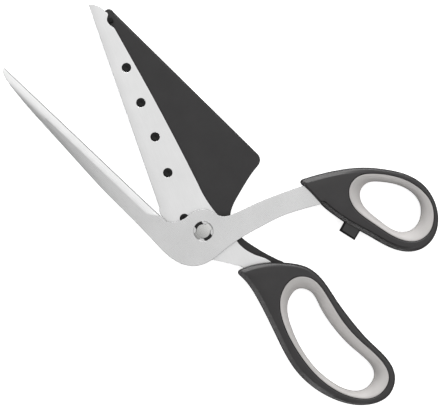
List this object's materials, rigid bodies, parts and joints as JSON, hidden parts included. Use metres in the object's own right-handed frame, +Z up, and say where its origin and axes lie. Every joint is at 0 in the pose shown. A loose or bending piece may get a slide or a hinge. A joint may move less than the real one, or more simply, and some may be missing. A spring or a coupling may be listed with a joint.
{
  "type": "pizza shears",
  "caption": "Pizza shears with steel blades on a take-apart pivot, moulded loop handles with soft liners, and a clip-on serving plate under the lower blade.",
  "frame": {"origin": "on the resting plane, straight under the pivot axis", "axes": "+Y from the pivot to the lower blade's tip, +Z up through the thickness, +X to the thumb handle's side"},
  "size_m": [0.1822, 0.2716, 0.0114],
  "materials": {
    "lower_blade_steel": "fine satin",
    "upper_blade_steel": "satin flats with a bright hollow grind",
    "stud_steel": "turned and slightly polished",
    "handle_black": "fine moulded grain, semi-matt",
    "liner_grey": "soft matt",
    "server_nylon": "fine moulded grain, matt",
    "stop_black": "matt",
    "washer_nylon": "matt"
  },
  "bodies": {
    "server": {"server": "server_nylon"},
    "lower_half": {"lower_blade": "lower_blade_steel", "lower_handle": "handle_black", "lower_handle_liner": "liner_grey", "pivot_stud": "stud_steel", "pivot_washer": "washer_nylon"},
    "upper_half": {"upper_blade": "upper_blade_steel", "upper_handle": "handle_black", "upper_handle_liner": "liner_grey", "handle_stop": "stop_black"}
  },
  "joints": [
    {"name": "blade_pivot", "type": "hinge", "parent": "lower_half", "child": "upper_half", "pos_m": [0, 0, 0], "axis": [0, 0, 1], "range_deg": [-24, 45]},
    {"name": "server_release", "type": "slide", "parent": "server", "child": "lower_half", "axis": [0, 0, 1], "range_m": [0, 0.012]}
  ]
}
